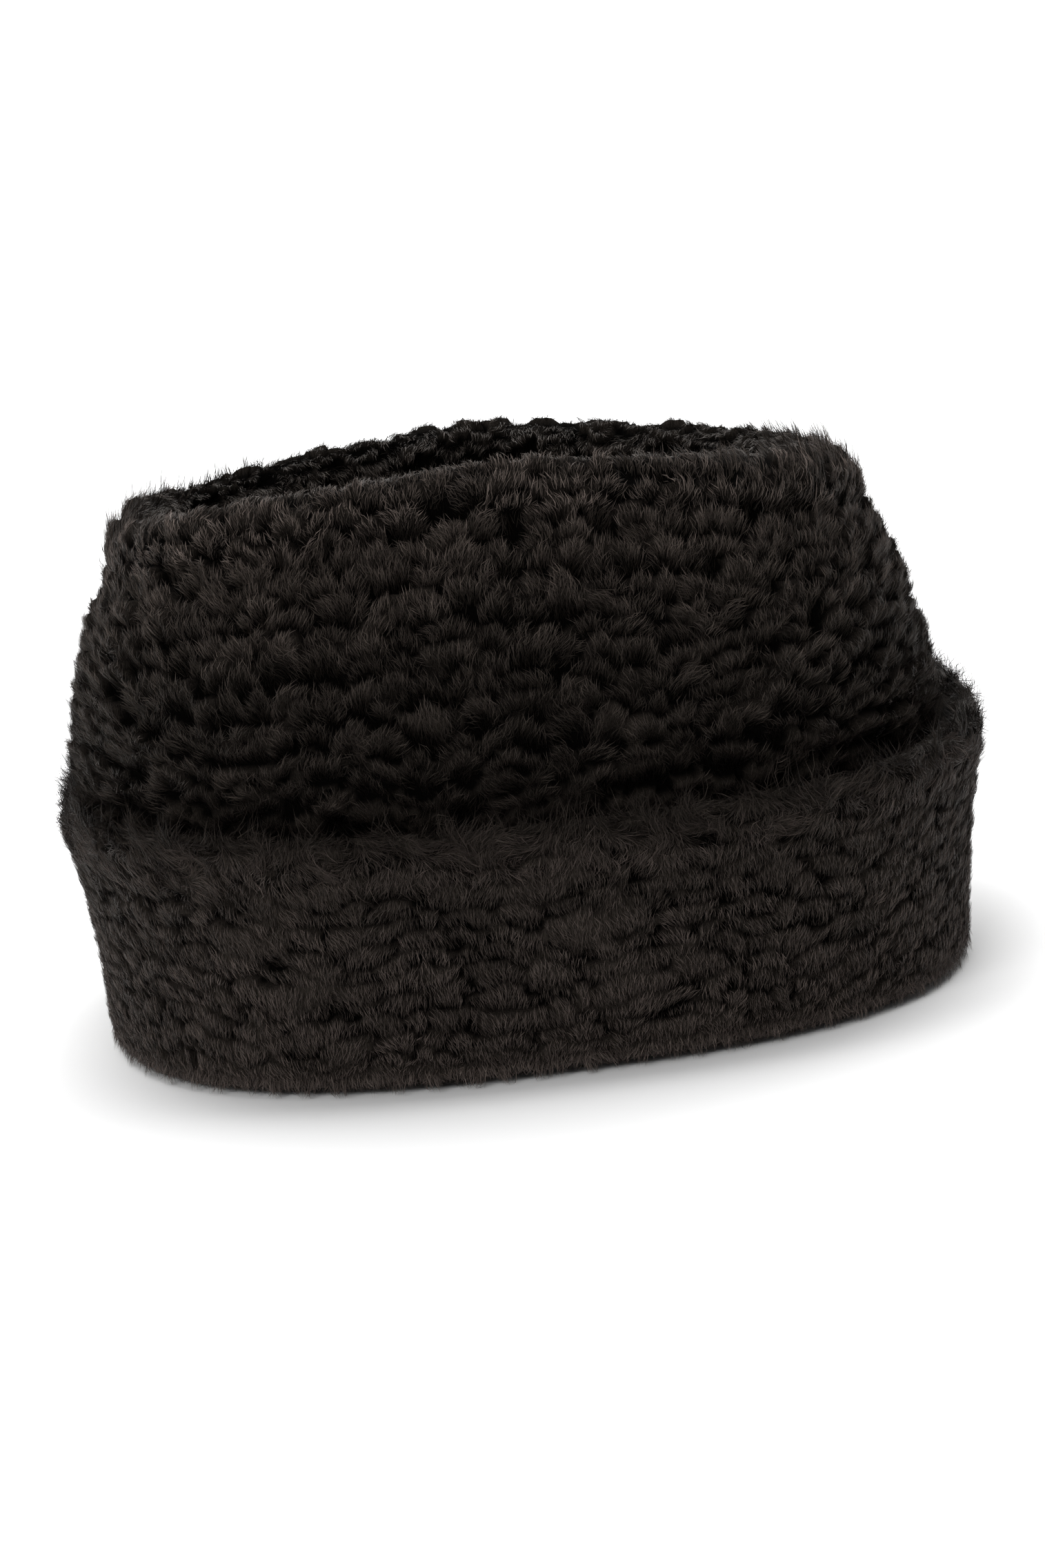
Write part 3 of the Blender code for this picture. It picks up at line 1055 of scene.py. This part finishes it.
def cuff_painted_light_and_shade(full, high, along, up):
    """Painted light and shade on the cuff's hairs: dark in the creases and low in each wave,
    lighter at the foot from the floor's light, darker in the ruff, and darkest where it turns in to
    the crown.
    """
    turned = np.clip((up - CUFF_FOLD + 8.0) / 9.0, 0.0, 1.0)
    raised = np.clip((up - CUFF_FOOT) / 48.0, 0.0, 1.0)
    tone = 1.75 * (0.02 + 0.98 * full ** 1.3) * (0.45 + 0.55 * high)
    return tone * (1.0 - 0.62 * raised) * (1.0 - 0.8 * turned)


CUFF_CLOTH = {
    "at": cuff_at,
    "curls": cuff_waves,
    "fill": cuff_fill,
    "stand": cuff_stand,
    "slot": "cuff_pile",
}
CUFF_STYLE = dict(
    CROWN_STYLE,
    bare_below=0.5,
    length=lambda along, up: 3.4 + 1.6 * ruff_at(along, up),
    fringe=0.6,
    sweep=cuff_heading,
    stray=0.14,
    lifts=(0.5, 0.3, -0.6),
    tone=cuff_painted_light_and_shade,
)
cuff_hair = hair("cuff_hair", (0.123, 0.0970, 0.0870), 0.28)
ruff_hair = hair("ruff_hair", (0.130, 0.1020, 0.0915), 0.16)
pile_ups = (CUFF_FOOT - 7.0, CUFF_TOP - 1.0)
lay_halves("cuff_pile_", CUFF_CLOTH, CUFF_HAIRS, CUFF_GIRTH, pile_ups, CUFF_STYLE, 55, cuff_hair)
ruff_tufts = ripples(66, CUFF_GIRTH, 45.0, 9.0)


def ruff_stand_up(along, up):
    """How far the tips stand up over the fold, which they hide, in uneven tufts."""
    near = np.clip((up - CUFF_FOLD + 9.0) / 9.0, 0.0, 1.0)
    return near * (1.0 + 1.5 * ruff_tufts(along, up))


def ruff_painted_shade(full, high, along, up):
    """The ruff takes the cuff's painted shade, a little darker than its full waves, and darkest
    where it turns in to the crown.
    """
    return 0.9 * cuff_painted_light_and_shade(1.0, 1.0, along, up)


RUFF_STYLE = dict(
    CUFF_STYLE,
    length=lambda along, up: 6.5,
    stray=0.35,
    curl=1.2,
    lifts=(0.9, 0.4, -0.6),
    stand_out=lambda along, up: 1.1 * ruff_at(along, up),
    stand_up=ruff_stand_up,
    knots=2,
    tone=ruff_painted_shade,
)
places = spread(2 * RUFF_HAIRS, (0.0, CUFF_GIRTH), (CUFF_FOLD - 10.0, CUFF_TOP))
lay_pile("ruff", CUFF_CLOTH, places, RUFF_HAIRS, RUFF_STYLE, 57, ruff_hair)

# Short hairs along the foot turn down over its edge, in uneven tufts.
FOOT_HAIRS = 12000
foot_tufts = ripples(67, CUFF_GIRTH, 22.0, 5.0)


def foot_drop(along, up):
    """How far the tips hang below the foot."""
    return -1.5 * np.clip(0.1 + 1.4 * foot_tufts(along, up), 0.0, 1.4)


FOOT_STYLE = dict(
    CUFF_STYLE,
    length=lambda along, up: 2.8,
    fringe=1.0,
    sweep=lambda along, up: math.pi + 0.4 * cuff_sweep(along, up),
    stray=0.5,
    lifts=(0.9, 0.5, -0.3),
    stand_up=foot_drop,
)
places = spread(round(SPARE * FOOT_HAIRS), (0.0, CUFF_GIRTH), (CUFF_FOOT + 0.6, CUFF_FOOT + 2.8))
lay_pile("foot_pile", CUFF_CLOTH, places, FOOT_HAIRS, FOOT_STYLE, 58, cuff_hair)


# The hat stands on a white paper sweep, under a broad soft light from above and a little behind
# and a smaller one from the front left. A third light whitens the paper behind the hat.
SWEEP_HALF_WIDTH = 6.0
SWEEP_FRONT = -4.0
SWEEP_BACK = 2.6
SWEEP_BEND = 1.4
SWEEP_TOP = 5.0
SWEEP_STEPS = 12
shape = bmesh.new()
profile = [(SWEEP_FRONT, 0.0), (SWEEP_BACK, 0.0)]
for i in range(1, SWEEP_STEPS + 1):
    turn = math.pi / 2.0 * i / SWEEP_STEPS
    profile.append((SWEEP_BACK + SWEEP_BEND * math.sin(turn), SWEEP_BEND * (1.0 - math.cos(turn))))
profile.append((SWEEP_BACK + SWEEP_BEND, SWEEP_TOP))
line = [shape.verts.new((-SWEEP_HALF_WIDTH, y, z)) for y, z in profile]
edges = [shape.edges.new(pair) for pair in zip(line, line[1:])]
pulled = bmesh.ops.extrude_edge_only(shape, edges=edges)["geom"]
for item in pulled:
    if isinstance(item, bmesh.types.BMVert):
        item.co.x = SWEEP_HALF_WIDTH
mesh = bpy.data.meshes.new("paper_sweep")
shape.to_mesh(mesh)
shape.free()
mesh.shade_smooth()
paper = bpy.data.materials.new("white_paper")
paper.use_nodes = True
paper_shader = paper.node_tree.nodes["Principled BSDF"]
paper_shader.inputs["Base Color"].default_value = (0.9, 0.9, 0.9, 1.0)
paper_shader.inputs["Roughness"].default_value = 0.9
paper_shader.inputs["Specular IOR Level"].default_value = 0.1
mesh.materials.append(paper)
sweep = bpy.data.objects.new("paper_sweep", mesh)
bpy.context.scene.collection.objects.link(sweep)


def soft_light(name, size, watts, place, aim):
    """A flat rectangular light at a place, turned to a point, in metres."""
    data = bpy.data.lights.new(name, "AREA")
    data.shape = "RECTANGLE"
    data.size, data.size_y = size
    data.energy = watts
    lamp = bpy.data.objects.new(name, data)
    lamp.location = place
    lamp.rotation_euler = (Vector(aim) - Vector(place)).to_track_quat("-Z", "Y").to_euler()
    bpy.context.scene.collection.objects.link(lamp)


soft_light("top_light", (2.4, 1.8), watts=61.0, place=(0.1, 0.6, 1.9), aim=(0.0, 0.0, 0.05))
soft_light("front_light", (1.4, 0.9), watts=36.0, place=(-1.1, -2.0, 1.35), aim=(0.0, 0.0, 0.08))
soft_light("backdrop_light", (4.0, 1.0), watts=120.0, place=(0.0, 1.8, 3.0), aim=(0.0, 4.0, 1.0))
world = bpy.data.worlds.new("white_room")
world.use_nodes = True
world.node_tree.nodes["Background"].inputs["Color"].default_value = (1.0, 1.0, 1.0, 1.0)
world.node_tree.nodes["Background"].inputs["Strength"].default_value = 0.18
bpy.context.scene.world = world
bpy.context.scene.view_settings.view_transform = "Standard"
